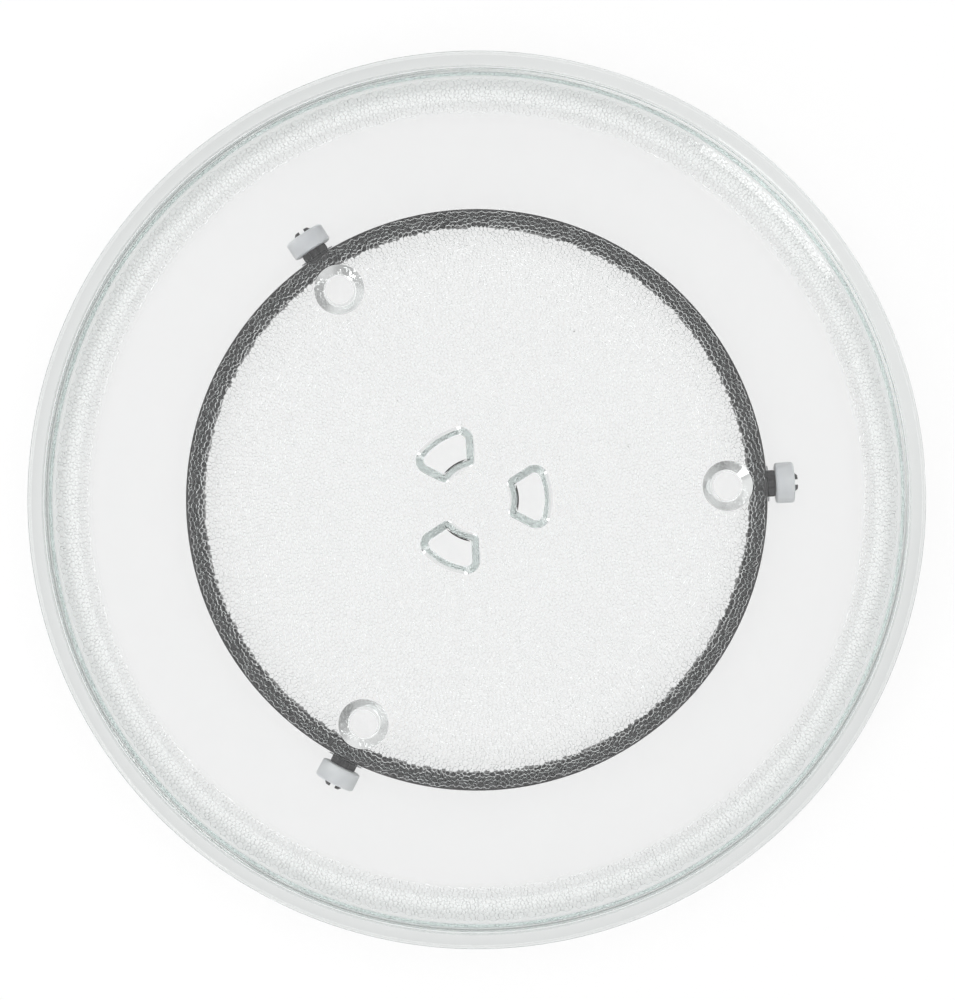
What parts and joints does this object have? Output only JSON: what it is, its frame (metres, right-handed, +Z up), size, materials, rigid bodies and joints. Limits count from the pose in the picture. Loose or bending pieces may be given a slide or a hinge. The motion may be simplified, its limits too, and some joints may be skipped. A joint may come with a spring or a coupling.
{
  "type": "microwave turntable plate",
  "caption": "Round clear pressed-glass turntable plate with a raised rim, drive lugs and bosses underneath, riding on a plastic ring with free-turning rollers.",
  "frame": {"origin": "on the turning axis, on the oven floor that the rollers run on", "axes": "+Z up along the turning axis, +X out through the first roller"},
  "size_m": [0.315, 0.315, 0.031],
  "materials": {
    "glass": "clear, smooth above",
    "ring_plastic": "matt",
    "roller_plastic": "satin"
  },
  "bodies": {
    "ring": {"roller_ring": "ring_plastic"},
    "plate": {"glass_plate": "glass"},
    "roller_1": {"roller_1": "roller_plastic"},
    "roller_2": {"roller_2": "roller_plastic"},
    "roller_3": {"roller_3": "roller_plastic"}
  },
  "joints": [
    {"name": "plate_turn", "type": "hinge", "parent": "ring", "child": "plate", "pos_m": [0, 0, 0.0147], "axis": [0, 0, 1], "continuous": true},
    {"name": "roller_1_spin", "type": "hinge", "parent": "ring", "child": "roller_1", "pos_m": [0.10965, 0, 0.00725], "axis": [1, 0, 0], "continuous": true},
    {"name": "roller_2_spin", "type": "hinge", "parent": "ring", "child": "roller_2", "pos_m": [-0.05482, 0.09496, 0.00725], "axis": [-0.5, 0.866, 0], "continuous": true},
    {"name": "roller_3_spin", "type": "hinge", "parent": "ring", "child": "roller_3", "pos_m": [-0.05482, -0.09496, 0.00725], "axis": [-0.5, -0.866, 0], "continuous": true}
  ],
  "couplings": [
    {"joint": "roller_1_spin", "follows": "plate_turn", "ratio": -15.124},
    {"joint": "roller_2_spin", "follows": "plate_turn", "ratio": -15.124},
    {"joint": "roller_3_spin", "follows": "plate_turn", "ratio": -15.124}
  ]
}
